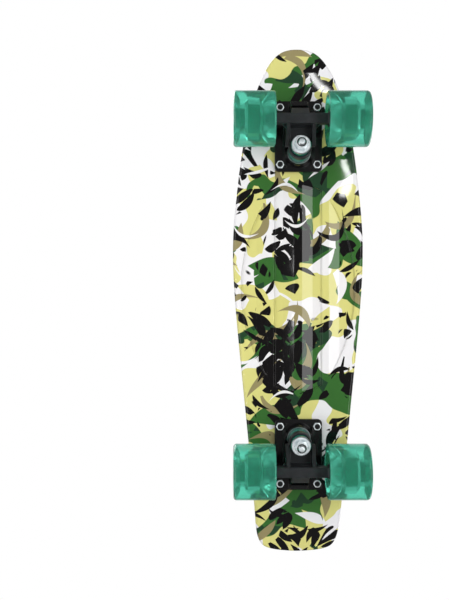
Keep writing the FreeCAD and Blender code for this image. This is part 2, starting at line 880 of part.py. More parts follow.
def bearing(side, face):
    """The rings, balls, cage and shields of one bearing whose inner face is at that distance."""
    start, outward = along_axle(side, face)
    mid = start + outward * (bearing_width / 2)
    groove = Part.makeTorus(ball_pitch_radius, ball_radius + ball_groove_clearance, mid, outward)
    recess = shield_inset + shield_thickness + 0.15
    step = outer_ring_inner_radius + shield_seat_depth
    outer = turned(
        [
            (0, bearing_radius - 0.3),
            (0.3, bearing_radius),
            (bearing_width - 0.3, bearing_radius),
            (bearing_width, bearing_radius - 0.3),
            (bearing_width, step),
            (bearing_width - recess, step),
            (bearing_width - recess, outer_ring_inner_radius),
            (recess, outer_ring_inner_radius),
            (recess, step),
            (0, step),
        ],
        start,
        outward,
    ).cut(groove)
    inner = turned(
        [
            (0, bearing_bore + 0.3),
            (0, inner_ring_outer_radius),
            (bearing_width, inner_ring_outer_radius),
            (bearing_width, bearing_bore + 0.3),
            (bearing_width - 0.3, bearing_bore),
            (0.3, bearing_bore),
        ],
        start,
        outward,
    ).cut(groove)
    cage = tube(
        ball_pitch_radius + cage_wall / 2,
        ball_pitch_radius - cage_wall / 2,
        mid - outward * cage_half_width,
        outward,
        2 * cage_half_width,
    )
    balls = []
    for k in range(balls_per_bearing):
        turn = 2 * math.pi * k / balls_per_bearing
        centre = mid + Vector(0, ball_pitch_radius * math.cos(turn), ball_pitch_radius * math.sin(turn))
        balls.append(Part.makeSphere(ball_radius, centre))
        cage = cage.cut(Part.makeSphere(ball_radius + cage_ball_clearance, centre))
    shields = [
        tube(
            step - 0.05,
            inner_ring_outer_radius + shield_ring_clearance,
            start + outward * inset,
            outward,
            shield_thickness,
        )
        for inset in (shield_inset, bearing_width - shield_inset - shield_thickness)
    ]
    return outer, inner, balls, cage, shields


# ---- placing ------------------------------------------------------------------------------------


def build_truck(name, truck_y, turned_round):
    """Builds one truck with its wheels and puts every solid into its node.

    The bolts, nuts and locking rings through the deck are alike on both trucks, so they share a node each.
    """

    def place(shape):
        if turned_round:
            shape.rotate(Vector(0, 0, 0), Vector(0, 0, 1), 180)
        shape.translate(Vector(0, truck_y, deck_bottom))
        return shape

    def add(node, *shapes):
        keep(node, *[place(s) for s in shapes])

    nuts, rings = deck_nuts()
    add("deck_bolts", *deck_bolts())
    add("deck_nuts", *nuts)
    add("deck_nut_rings", *rings)
    add(f"{name}_baseplate", baseplate())
    add(f"{name}_pivot_cup", pivot_cup())
    add(f"{name}_kingpin", kingpin())
    add(f"{name}_boardside_washer", cupped_washer(boardside_washer_radius, washer1_start, 1))
    add(
        f"{name}_boardside_bushing",
        bushing(
            bushing1_start,
            boardside_bushing_height,
            boardside_bushing_radius,
            boardside_bushing_radius,
        ),
    )
    add(
        f"{name}_roadside_bushing",
        bushing(
            bushing2_start,
            roadside_bushing_height,
            roadside_bushing_radius,
            roadside_bushing_small_radius,
        ),
    )
    add(f"{name}_roadside_washer", cupped_washer(roadside_washer_radius, washer2_start, -1))
    nut, ring = kingpin_nut()
    add(f"{name}_kingpin_nut", nut)
    add(f"{name}_kingpin_nut_ring", ring)
    add(f"{name}_hanger", hanger())
    add(f"{name}_axle", axle())

    for side in (-1, 1):
        board_side = -side if turned_round else side
        corner = f"{name}_{'left' if board_side > 0 else 'right'}"
        add(f"{corner}_wheel", wheel(side))
        add(f"{corner}_wheel_core", wheel_core(side))
        for face in (inner_bearing, outer_bearing):
            outer, inner, balls, cage, shields = bearing(side, face)
            add(f"{corner}_bearing_outer_rings", outer)
            add(f"{corner}_bearing_shields", *shields)
            add(f"{corner}_bearing_balls", *balls)
            add(f"{corner}_bearing_cages", cage)
            add(f"{name}_bearing_inner_rings", inner)
        for face in (hanger_half_length, outer_washer):
            start, outward = along_axle(side, face)
            bore = axle_radius + spacer_bore_clearance
            washer = tube(bore + speed_washer_wall, bore, start, outward, speed_washer_thickness)
            add(f"{name}_axle_washers", washer)
        start, outward = along_axle(side, spacer_start)
        bore = axle_radius + spacer_bore_clearance
        spacer = tube(bore + spacer_wall, bore, start, outward, spacer_length)
        add(f"{name}_bearing_spacers", spacer)
        start, outward = along_axle(side, axle_nut_start)
        nut, ring = lock_nut(
            axle_nut_across_flats,
            axle_nut_height,
            axle_insert_radius + axle_collar_wall,
            axle_collar_height,
            axle_radius + nut_thread_clearance,
            axle_insert_radius,
            start,
            outward,
        )
        add(f"{name}_axle_nuts", nut)
        add(f"{name}_axle_nut_rings", ring)


def main():
    build_deck()
    build_truck("front", front_truck_y, False)
    build_truck("rear", rear_truck_y, True)
    os.makedirs("parts", exist_ok=True)
    for name, solids in nodes.items():
        shape = solids[0] if len(solids) == 1 else Part.makeCompound(solids)
        shape.exportStep(f"parts/{name}.step")
        volume = sum(s.Volume for s in solids)
        print(f"{name}: {len(shape.Solids)} solids, {volume:.1f} mm3, valid {shape.isValid()}")
    print("steering axis, front: pivot", pivot_point + Vector(0, front_truck_y, deck_bottom))
    print("steering axis, front: ring", ring_centre + Vector(0, front_truck_y, deck_bottom))
    print("node count", len(nodes))


main()
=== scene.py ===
import json
import math

import bmesh
import bpy
from mathutils import Matrix, Vector
from mathutils.bvhtree import BVHTree
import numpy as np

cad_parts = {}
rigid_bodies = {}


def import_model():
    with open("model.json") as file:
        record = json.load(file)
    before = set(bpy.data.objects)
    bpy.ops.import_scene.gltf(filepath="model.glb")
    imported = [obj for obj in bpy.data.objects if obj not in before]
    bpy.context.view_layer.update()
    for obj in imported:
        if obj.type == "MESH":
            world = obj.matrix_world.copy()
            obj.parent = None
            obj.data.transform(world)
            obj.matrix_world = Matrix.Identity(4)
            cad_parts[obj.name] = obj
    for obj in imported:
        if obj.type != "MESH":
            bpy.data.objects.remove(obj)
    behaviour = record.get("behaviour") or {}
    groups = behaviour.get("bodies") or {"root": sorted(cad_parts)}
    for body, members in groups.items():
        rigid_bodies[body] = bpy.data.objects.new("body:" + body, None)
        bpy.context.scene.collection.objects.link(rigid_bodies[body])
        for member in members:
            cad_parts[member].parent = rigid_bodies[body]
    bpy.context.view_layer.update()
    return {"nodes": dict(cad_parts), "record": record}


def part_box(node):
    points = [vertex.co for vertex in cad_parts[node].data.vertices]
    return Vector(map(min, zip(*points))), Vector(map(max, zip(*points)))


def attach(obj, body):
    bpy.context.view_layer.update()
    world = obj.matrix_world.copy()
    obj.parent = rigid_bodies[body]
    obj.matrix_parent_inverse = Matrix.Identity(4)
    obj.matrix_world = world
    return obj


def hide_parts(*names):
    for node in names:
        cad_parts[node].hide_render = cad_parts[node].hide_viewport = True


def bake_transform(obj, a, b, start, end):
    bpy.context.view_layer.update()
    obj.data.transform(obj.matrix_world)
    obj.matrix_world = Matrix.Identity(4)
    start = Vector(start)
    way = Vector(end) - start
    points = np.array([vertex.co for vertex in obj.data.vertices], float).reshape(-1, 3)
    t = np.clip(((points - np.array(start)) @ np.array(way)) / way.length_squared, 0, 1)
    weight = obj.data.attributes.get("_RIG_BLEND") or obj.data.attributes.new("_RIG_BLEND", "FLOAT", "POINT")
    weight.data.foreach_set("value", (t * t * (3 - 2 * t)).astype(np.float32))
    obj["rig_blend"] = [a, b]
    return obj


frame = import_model()
nodes = frame["nodes"]
print("frame loaded,", len(nodes), "nodes")

mm = 0.001
truckNames = ("front", "rear")
sideNames = ("left", "right")
bodyOf = {node: body for body, group in frame["record"]["behaviour"]["bodies"].items() for node in group}


# shader maths: one wrapped socket, so that an expression on it adds its nodes

class Wire:
    def __init__(self, tree, socket=None):
        self.tree = tree
        self.socket = socket

    def add(self, kind, settings=None, inputs=None, out=0):
        node = self.tree.nodes.new(kind)
        for name, value in (settings or {}).items():
            setattr(node, name, value)
        for key, value in (inputs or {}).items():
            if isinstance(value, Wire):
                self.tree.links.new(value.socket, node.inputs[key])
            else:
                node.inputs[key].default_value = value
        return Wire(self.tree, node.outputs[out] if out is not None else None)

    def maths(self, operation, *values, clamped=False):
        settings = {"operation": operation, "use_clamp": clamped}
        return self.add("ShaderNodeMath", settings, dict(enumerate(values)))

    def vector(self, operation, *values):
        return self.add("ShaderNodeVectorMath", {"operation": operation}, dict(enumerate(values)))

    def scaled(self, amount):
        return self.add("ShaderNodeVectorMath", {"operation": "SCALE"}, {0: self, "Scale": amount})

    def part(self, index):
        return self.add("ShaderNodeSeparateXYZ", None, {0: self}, index)

    def between(self, mask, first, second):
        return self.add("ShaderNodeMix", {"data_type": "RGBA"}, {0: mask, 6: first, 7: second}, 2)

    def mixed(self, mask, colour):
        return self.between(mask, self, colour)

    def noise(self, scale, detail=2.0, roughness=0.5, out=0):
        values = {"Vector": self, "Scale": scale, "Detail": detail, "Roughness": roughness}
        return self.add("ShaderNodeTexNoise", None, values, out)

    def inside(self, softness):
        # 1 where the value is above zero, with an edge that wide
        return self.maths("MULTIPLY_ADD", self, 1 / softness, 0.5, clamped=True)

    def __add__(self, other):
        return self.maths("ADD", self, other)

    __radd__ = __add__

    def __sub__(self, other):
        return self.maths("SUBTRACT", self, other)

    def __rsub__(self, other):
        return self.maths("SUBTRACT", other, self)

    def __mul__(self, other):
        return self.maths("MULTIPLY", self, other)

    __rmul__ = __mul__

    def __truediv__(self, other):
        return self.maths("DIVIDE", self, other)

    def __gt__(self, other):
        return self.maths("GREATER_THAN", self, other)

    def __lt__(self, other):
        return self.maths("LESS_THAN", self, other)

    def __abs__(self):
        return self.maths("ABSOLUTE", self)


def ink(code):
    # a screen colour such as "DAD585" as the linear colour that shaders take
    values = [int(code[k:k + 2], 16) / 255 for k in (0, 2, 4)]
    return [v / 12.92 if v <= 0.04045 else ((v + 0.055) / 1.055) ** 2.4 for v in values] + [1.0]


def newMaterial(name):
    material = bpy.data.materials.new(name)
    material.use_nodes = True
    material.node_tree.nodes.clear()
    return material, Wire(material.node_tree)


def closeMaterial(wire, inputs, height=None, strength=0.2, distance=0.0002):
    if height is not None:
        values = {"Height": height, "Strength": strength, "Distance": distance}
        inputs = dict(inputs, Normal=wire.add("ShaderNodeBump", None, values))
    shader = wire.add("ShaderNodeBsdfPrincipled", None, inputs)
    wire.add("ShaderNodeOutputMaterial", None, {"Surface": shader}, None)


# the deck's print

printSettings = {
    "white": "EFEDF2",
    "yellow": "DAD585",
    "green": "37682F",
    "darkGreen": "22402A",
    "olive": "958A62",
    "black": "0D0B0C",
    "topShift": (0.437, 0.291, 0.0),
    "wander": 0.022,
    "edge": 0.0003,
    "crisp": 0.004,
    "yellowBlobs": {"scale": 25.0, "level": 0.475, "shift": 0.0},
    "greenBlobs": {"scale": 21.0, "level": 0.552, "shift": 1.3},
    "darkBlobs": {"scale": 38.0, "level": 0.56, "shift": 4.1},
    "blackBlobs": {"scale": 32.0, "level": 0.668, "shift": 5.7},
    "blackFlecks": {"scale": 60.0, "level": 0.7, "shift": 9.2},
    "clusterBlobs": {"scale": 19.0, "level": 0.59},
    "clusterTurns": (38.0, -52.0),
    "clusterShifts": (2.9, 7.3),
    "tornTurn": 35.0,
    "tornBackTurn": -50.0,
    "shardScale": 52.0,
    "shardPull": 0.6,
    "shardStretch": (1.0, 0.45, 0.0),
    "clusterLeaf": {
        "scale": 98.0, "squeeze": 0.4, "loose": 0.7, "spread": 0.7,
        "halfLength": 0.0165, "halfWidth": 0.0044, "bend": 34.0, "share": 0.93,
    },
    "yellowLeaf": {
        "scale": 16.0, "halfLength": 0.025, "halfWidth": 0.0095,
        "bend": 16.0, "share": 0.55, "shift": 0.13,
    },
    "greenLeaf": {
        "scale": 13.5, "halfLength": 0.032, "halfWidth": 0.0125,
        "bend": 12.0, "share": 0.72, "shift": 0.71,
    },
    "whiteLeaf": {
        "scale": 17.0, "halfLength": 0.021, "halfWidth": 0.0062,
        "bend": 26.0, "share": 0.5, "shift": 0.47,
    },
    "oliveRibbon": {
        "scale": 15.5, "halfLength": 0.028, "halfWidth": 0.0043,
        "bend": 36.0, "share": 0.75, "shift": 0.37,
    },
    "oliveHook": {
        "scale": 17.5, "halfLength": 0.020, "halfWidth": 0.0050,
        "bend": 66.0, "share": 0.5, "shift": 0.93,
    },
    "whiteSliver": {
        "scale": 22.0, "halfLength": 0.016, "halfWidth": 0.0016,
        "bend": 40.0, "share": 0.4, "shift": 0.21,
    },
    "blackLeaf": {
        "scale": 18.0, "halfLength": 0.020, "halfWidth": 0.0052,
        "bend": 30.0, "share": 0.3, "shift": 0.83,
    },
    "blackHook": {
        "scale": 18.5, "halfLength": 0.021, "halfWidth": 0.0040,
        "bend": 62.0, "share": 0.42, "shift": 0.31,
    },
    "blackSliver": {
        "scale": 27.0, "halfLength": 0.013, "halfWidth": 0.0026,
        "bend": 34.0, "share": 0.6, "shift": 0.59,
    },
}


def turnedSheet(wire, sheet, degrees):
    turn = math.radians(degrees)
    across = sheet.part(0) * math.cos(turn) + sheet.part(1) * math.sin(turn)
    along = sheet.part(1) * math.cos(turn) - sheet.part(0) * math.sin(turn)
    return wire.add("ShaderNodeCombineXYZ", None, {0: across, 1: along})


def blobs(sheet, look, crisp):
    moved = sheet.vector("ADD", sheet, (look["shift"], look["shift"] * 1.7, 0.0))
    return (moved.noise(look["scale"], 1.0, 0.35) - look["level"]).inside(crisp)


def leaves(wire, sheet, look, edge):
    # one curved, pointed shape in each cell of a loose scatter, turned at random
    spread, squeeze = look.get("spread", 2 * math.pi), look.get("squeeze", 1.0)
    moved = sheet.vector("ADD", sheet, (look["shift"], look["shift"] * 2.3, 0.0))
    moved = moved.vector("MULTIPLY", moved, (1.0, squeeze, 0.0))
    settings = {"voronoi_dimensions": "2D", "feature": "F1"}
    values = {"Vector": moved, "Scale": look["scale"], "Randomness": look.get("loose", 0.85)}
    centre = wire.add("ShaderNodeTexVoronoi", settings, values, 2)
    chance = wire.add("ShaderNodeTexVoronoi", settings, values, 1)
    local = moved.vector("SUBTRACT", moved, centre)
    local = local.vector("MULTIPLY", local, (1.0, 1 / squeeze, 0.0))
    turn = (chance.part(0) - 0.5) * spread + math.pi / 2
    cosine, sine = wire.maths("COSINE", turn), wire.maths("SINE", turn)
    along = local.part(0) * cosine + local.part(1) * sine
    across = local.part(1) * cosine - local.part(0) * sine
    across = across - along * along * ((chance.part(1) - 0.5) * (2 * look["bend"]))
    share = along / look["halfLength"]
    width = (1 - share * share) * (1.0 + share * 0.35) * look["halfWidth"]
    return (width - abs(across)).inside(edge) * (chance.part(2) < look["share"])


def shards(wire, sheet, s):
    # pulls each point part of the way to the middle of a long cell, which leaves torn, pointed edges
    stretch = sheet.vector("MULTIPLY", sheet, s["shardStretch"])
    settings = {"voronoi_dimensions": "2D", "feature": "F1"}
    centre = wire.add("ShaderNodeTexVoronoi", settings, {"Vector": stretch, "Scale": s["shardScale"]}, 2)
    pull = stretch.vector("SUBTRACT", centre, stretch).scaled(s["shardPull"])
    return sheet.vector("ADD", sheet, pull)


def clusters(wire, sheet, s, degrees, shift):
    # a patch of small dark leaves that all lean about the same way, side by side
    fan = turnedSheet(wire, sheet, degrees)
    patch = blobs(sheet, dict(s["clusterBlobs"], shift=shift), s["crisp"])
    return patch * leaves(wire, fan, dict(s["clusterLeaf"], shift=shift), s["edge"])


def makePrint():
    s = printSettings
    material, wire = newMaterial("deckPrint")
    place = wire.add("ShaderNodeTexCoord", None, None, "Object")
    facing = wire.add("ShaderNodeTexCoord", None, None, "Normal").part(2) > 0.0
    flat = place.vector("MULTIPLY", place, (1.0, 1.0, 0.0))
    shift = wire.add("ShaderNodeCombineXYZ", None, dict(enumerate(facing * v for v in s["topShift"])))
    sheet = flat.vector("ADD", flat, shift)
    drift = sheet.noise(11.0, 1.0, 0.4, 1)
    wander = drift.vector("SUBTRACT", drift, (0.5, 0.5, 0.5)).scaled(s["wander"])
    sheet = sheet.vector("ADD", sheet, wander.vector("MULTIPLY", wander, (1.0, 1.0, 0.0)))
    torn = shards(wire, turnedSheet(wire, sheet, s["tornTurn"]), s)
    tornBack = shards(wire, turnedSheet(wire, sheet, s["tornBackTurn"]), s)

    edge, crisp = s["edge"], s["crisp"]
    green = blobs(sheet, s["greenBlobs"], crisp)
    yellow = blobs(sheet, s["yellowBlobs"], crisp)
    firstCluster, secondCluster = [
        clusters(wire, sheet, s, turn, shift) for turn, shift in zip(s["clusterTurns"], s["clusterShifts"])
    ]
    colour = wire.between(yellow, ink(s["white"]), ink(s["yellow"]))
    layers = [
        (green, "green"),
        (leaves(wire, sheet, s["yellowLeaf"], edge), "yellow"),
        (leaves(wire, sheet, s["whiteLeaf"], edge), "white"),
        (leaves(wire, sheet, s["greenLeaf"], edge), "green"),
        (green * blobs(torn, s["darkBlobs"], crisp), "darkGreen"),
        (leaves(wire, sheet, s["oliveRibbon"], edge), "olive"),
        (leaves(wire, sheet, s["oliveHook"], edge), "olive"),
        (firstCluster, "black"),
        (secondCluster, "black"),
        (blobs(torn, s["blackBlobs"], crisp), "black"),
        (blobs(tornBack, s["blackFlecks"], crisp), "black"),
        (leaves(wire, sheet, s["blackLeaf"], edge), "black"),
        (leaves(wire, sheet, s["blackHook"], edge), "black"),
        (leaves(wire, sheet, s["blackSliver"], edge), "black"),
        (leaves(wire, sheet, s["whiteSliver"], edge), "white"),
    ]
    for mask, name in layers:
        colour = colour.mixed(mask, ink(s[name]))

    scuff = place.noise(140.0, 4.0, 0.6)
    rough = 0.015 + scuff * 0.05
    swell = place.noise(26.0, 1.0, 0.3) + place.noise(900.0, 2.0, 0.5) * 0.002
    closeMaterial(wire, {"Base Color": colour, "Roughness": rough, "IOR": 1.46}, swell, 0.4, 0.0006)
    return material


# the other finishes

def makePaint(name, code, roughness, grain, relief=0.22):
    material, wire = newMaterial(name)
    place = wire.add("ShaderNodeTexCoord", None, None, "Object")
    cloud = place.noise(90.0, 3.0, 0.55)
    grit = place.noise(grain, 2.0, 0.6)
    base = ink(code)
    dusty = [min(1.0, v * 1.7 + 0.004) for v in base[:3]] + [1.0]
    colour = wire.between((cloud - 0.45).inside(0.5), base, dusty)
    rough = roughness * 0.75 + grit * (roughness * 0.5)
    closeMaterial(wire, {"Base Color": colour, "Roughness": rough, "IOR": 1.5}, grit, relief, 0.00012)
    return material


def makeMetal(name, bright, dull, roughness, grain):
    material, wire = newMaterial(name)
    place = wire.add("ShaderNodeTexCoord", None, None, "Object")
    cloud = place.noise(grain * 0.2, 3.0, 0.6)
    grit = place.noise(grain, 2.0, 0.65)
    colour = wire.between((cloud - 0.5).inside(0.35), ink(bright), ink(dull))
    rough = roughness + (grit - 0.5) * 0.16
    closeMaterial(wire, {"Base Color": colour, "Metallic": 1.0, "Roughness": rough}, grit, 0.12, 0.00006)
    return material


def makeRubber(name, code, roughness, grain, transmission=0.0, scatter=0.0):
    material, wire = newMaterial(name)
    place = wire.add("ShaderNodeTexCoord", None, None, "Object")
    cloud = place.noise(60.0, 3.0, 0.5)
    grit = place.noise(grain, 2.0, 0.55)
    base = ink(code)
    deep = [v * 0.86 for v in base[:3]] + [1.0]
    colour = wire.between((cloud - 0.5).inside(0.6), base, deep)
    rough = roughness + (grit - 0.5) * 0.08
    values = {"Base Color": colour, "Roughness": rough, "IOR": 1.49, "Transmission Weight": transmission}
    if scatter:
        values.update({"Subsurface Weight": scatter, "Subsurface Scale": 0.01})
    closeMaterial(wire, values, grit, 0.06, 0.00005)
    return material


finishes = {
    "deck_plastic": makePrint(),
    # the hanger paint is a lighter grey than the black baseplate paint: a painted sheen over the whole
    # hanger, standing in for the light that the beam's face catches
    "truck_paint": makePaint("truckPaint", "2B2C30", 0.38, 1500.0),
    "base_paint": makePaint("basePaint", "0C0B0D", 0.16, 900.0, 0.1),
    "zinc_steel": makeMetal("zincSteel", "E3E8EA", "BCC6C9", 0.3, 900.0),
    "black_steel": makePaint("blackSteel", "161517", 0.3, 2400.0),
    "nylon": makeRubber("nylonRing", "1B1C1F", 0.42, 1800.0),
    "bushing_urethane": makeRubber("bushingUrethane", "1F8F7C", 0.34, 1200.0, 0.0, 0.3),
    "cup_rubber": makeRubber("cupRubber", "17171A", 0.55, 1800.0),
    "wheel_urethane": makeRubber("wheelUrethane", "66DCC0", 0.12, 500.0, 0.68),
    "wheel_core_plastic": makeRubber("wheelCorePlastic", "F4FFFC", 0.45, 700.0),
    "bearing_steel": makeMetal("bearingSteel", "CFD2D4", "B4B9BC", 0.2, 1400.0),
    "cage_plastic": makeRubber("cagePlastic", "D8D0B8", 0.45, 1500.0),
    "shield": makeRubber("bearingShield", "1A1B1E", 0.4, 1600.0),
}
print("materials made,", len(finishes))


def slotOf(node):
    return next(p["material_slot"] for p in frame["record"]["subparts"] if p["node"] == node)


def piece(mesher, name, body, finish, angle=35.0, even=True):
    mesh = bpy.data.meshes.new(name)
    mesher.to_mesh(mesh)
    mesher.free()
    for extra in [a.name for a in mesh.attributes if a.name == "custom_normal"]:
        mesh.attributes.remove(mesh.attributes[extra])
    for face in mesh.polygons:
        face.use_smooth = True
        face.material_index = 0
    mesh.materials.append(finishes[finish])
    mesh.set_sharp_from_angle(angle=math.radians(angle))
    thing = bpy.data.objects.new(name, mesh)
    bpy.context.scene.collection.objects.link(thing)
    if even:
        # wide flat faces keep a flat shade, and only the narrow round ones between them turn it
        shading = thing.modifiers.new("evenShading", "WEIGHTED_NORMAL")
        shading.keep_sharp = True
        shading.weight = 50
    if body:
        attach(thing, body)
    return thing


def mergedCopy(node):
    mesher = bmesh.new()
    mesher.from_mesh(nodes[node].data)
    bmesh.ops.remove_doubles(mesher, verts=mesher.verts, dist=2e-6)
    return mesher


def spun(profile, place, direction, steps, closed=True):
    # profile: (distance along the axis, radius, rounding) in mm, turned about the line from place
    mesher = bmesh.new()
    corners = [mesher.verts.new((r * mm, 0, d * mm)) for d, r, rounding in profile]
    ends = corners[1:] + corners[:1] if closed else corners[1:]
    for here, there in zip(corners, ends):
        mesher.edges.new((here, there))
    for corner, (d, r, rounding) in zip(corners, profile):
        if rounding:
            bmesh.ops.bevel(
                mesher, geom=[corner], offset=rounding * mm, offset_type="OFFSET", affect="VERTICES",
                segments=5 if rounding > 1.5 else 3, profile=0.5, material=-1,
            )
    bmesh.ops.spin(
        mesher, geom=mesher.verts[:] + mesher.edges[:], cent=(0, 0, 0), axis=(0, 0, 1),
        angle=2 * math.pi, steps=steps, use_merge=True,
    )
    bmesh.ops.remove_doubles(mesher, verts=mesher.verts, dist=1e-6)
    bmesh.ops.recalc_face_normals(mesher, faces=mesher.faces)
    turn = Vector(direction).to_track_quat("Z", "Y").to_matrix().to_4x4()
    bmesh.ops.transform(mesher, matrix=Matrix.Translation(place) @ turn, verts=mesher.verts)
    return mesher


# the deck, and every CAD piece that keeps its shape, as smooth copies

def standIn(node):
    slot = slotOf(node)
    thing = piece(mergedCopy(node), node + "_shown", bodyOf[node], slot, 30.0)
    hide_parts(node)


remade = ("wheel", "wheel_core", "hanger", "baseplate", "kingpin", "boardside_bushing", "roadside_bushing")
for node in nodes:
    if not any(node.endswith("_" + name) for name in remade):
        standIn(node)
print("cad pieces dressed")


# the castings: the CAD shape with every edge rounded, as sand and paint leave it

casting = {"grain": 0.45, "smoothing": 0.5, "passes": 9}


def makeCasting(node, finish):
    s = casting
    mesh = bpy.data.meshes.new(node + "_raw")
    mesher = mergedCopy(node)
    mesher.to_mesh(mesh)
    mesher.free()
    raw = bpy.data.objects.new(node + "_raw", mesh)
    bpy.context.scene.collection.objects.link(raw)
    grown = raw.modifiers.new("grown", "REMESH")
    grown.mode = "VOXEL"
    grown.voxel_size = s["grain"] * mm
    softened = raw.modifiers.new("softened", "SMOOTH")
    softened.factor = s["smoothing"]
    softened.iterations = s["passes"]
    bpy.context.view_layer.update()
    done = raw.evaluated_get(bpy.context.evaluated_depsgraph_get()).to_mesh()
    mesher = bmesh.new()
    mesher.from_mesh(done)
    bpy.data.objects.remove(raw)
    thing = piece(mesher, node + "_shown", bodyOf[node], finish, 60.0, False)
    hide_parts(node)


for truck in truckNames:
    makeCasting(f"{truck}_hanger", "truck_paint")
    makeCasting(f"{truck}_baseplate", "base_paint")
print("castings made")


# kingpins with a threaded end, and the bushings that they hold

kingpinStack = {
    "fromAxle": 33.0,
    "lean": 8.0,
    "deckBottom": 74.0,
    "headStart": 1.9,
    "headEnd": 5.8,
    "headRadius": 7.7,
    "radius": 4.0,
    "threadStart": 50.0,
    "end": 55.0,
    "pitch": 0.8,
    "threadDepth": 0.42,
    "steps": 64,
    "headChamfer": 0.6,
    "tipChamfer": 0.9,
    "threadMargin": 0.4,
    "boardside": {
        "start": 12.5, "height": 13.0, "first": 11.0, "last": 11.0,
        "bulge": 0.5, "ringFirst": False,
    },
    "roadside": {
        "start": 31.9, "height": 10.0, "first": 10.0, "last": 8.6,
        "bulge": 0.4, "ringFirst": True,
    },
    "bore": 4.35,
    "lipAcross": 1.0,
    "lipAlong": 1.1,
}


def kingpinLine(truck):
    # where the kingpin's line leaves the deck, and which way it runs
    s = kingpinStack
    low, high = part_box(f"{truck}_axle")
    toMiddle = 1 if truck == "front" else -1
    lean = math.radians(s["lean"])
    baseY = (low.y + high.y) / 2 + toMiddle * s["fromAxle"] * mm
    place = Vector((0, baseY, s["deckBottom"] * mm))
    return place, Vector((0, -toMiddle * math.sin(lean), -math.cos(lean)))


def makeKingpin(truck):
    s = kingpinStack
    place, direction = kingpinLine(truck)
    profile = [
        (s["headStart"], 0, 0),
        (s["headStart"], s["headRadius"] - s["headChamfer"], 0),
        (s["headStart"] + s["headChamfer"], s["headRadius"], 0),
        (s["headEnd"], s["headRadius"], 0.3),
        (s["headEnd"], s["radius"], 0),
        (s["threadStart"], s["radius"], 0),
    ]
    at = s["threadStart"]
    while at + s["pitch"] < s["end"] - s["threadMargin"]:
        profile.append((at + s["pitch"] / 2, s["radius"] - s["threadDepth"], 0))
        profile.append((at + s["pitch"], s["radius"], 0))
        at += s["pitch"]
    profile += [(s["end"], s["radius"] - s["tipChamfer"], 0.2), (s["end"], 0, 0)]
    node = f"{truck}_kingpin"
    mesher = spun(profile, place, direction, s["steps"], False)
    pin = piece(mesher, node + "_shown", "board", "zinc_steel", 40.0)
    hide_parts(node)


def makeBushing(truck, which):
    # a short barrel; the end on the hanger's ring goes with the truck, and the other stays with the deck
    s = kingpinStack
    b = s[which]
    place, direction = kingpinLine(truck)
    start, end = b["start"], b["start"] + b["height"]
    profile = [
        (start, s["bore"], 0),
        (start, b["first"] - s["lipAcross"], 0.5),
        (start + s["lipAlong"], b["first"], 0.8),
        ((start + end) / 2, (b["first"] + b["last"]) / 2 + b["bulge"], 3.0),
        (end - s["lipAlong"], b["last"], 0.8),
        (end, b["last"] - s["lipAcross"], 0.5),
        (end, s["bore"], 0),
    ]
    node = f"{truck}_{which}_bushing"
    mesher = spun(profile, place, direction, s["steps"])
    long = [e for e in mesher.edges if abs((e.verts[1].co - e.verts[0].co).normalized().dot(direction)) > 0.8]
    bmesh.ops.subdivide_edges(mesher, edges=long, cuts=2, use_grid_fill=True)
    bushing = piece(mesher, node + "_shown", None, "bushing_urethane", 40.0, False)
    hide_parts(node)
    onDeck, onRing = place + direction * start * mm, place + direction * end * mm
    if b["ringFirst"]:
        onDeck, onRing = onRing, onDeck
    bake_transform(bushing, "board", f"{truck}_truck", onDeck, onRing)


for truck in truckNames:
    makeKingpin(truck)
    makeBushing(truck, "boardside")
    makeBushing(truck, "roadside")
print("kingpins and bushings made")


# wheels: a cast turn of urethane, dished on both faces, round a milky core

wheelShape = {
    "innerFace": 28.0,
    "outerFace": 73.0,
    "radius": 29.995,
    "innerRound": 1.8,
    "outerRound": 3.4,
    "lipRadius": 24.0,
    "hubRadius": 13.6,
    "seatRadius": 11.02,
    "shoulderRadius": 9.2,
    "innerBearing": 42.0,
    "bearingWidth": 7.0,
    "gap": 10.0,
    "coreRadius": 15.7,
    "coreLength": 19.0,
    "coreChamfer": 3.2,
    "clearance": 0.02,
    "steps": 96,
}


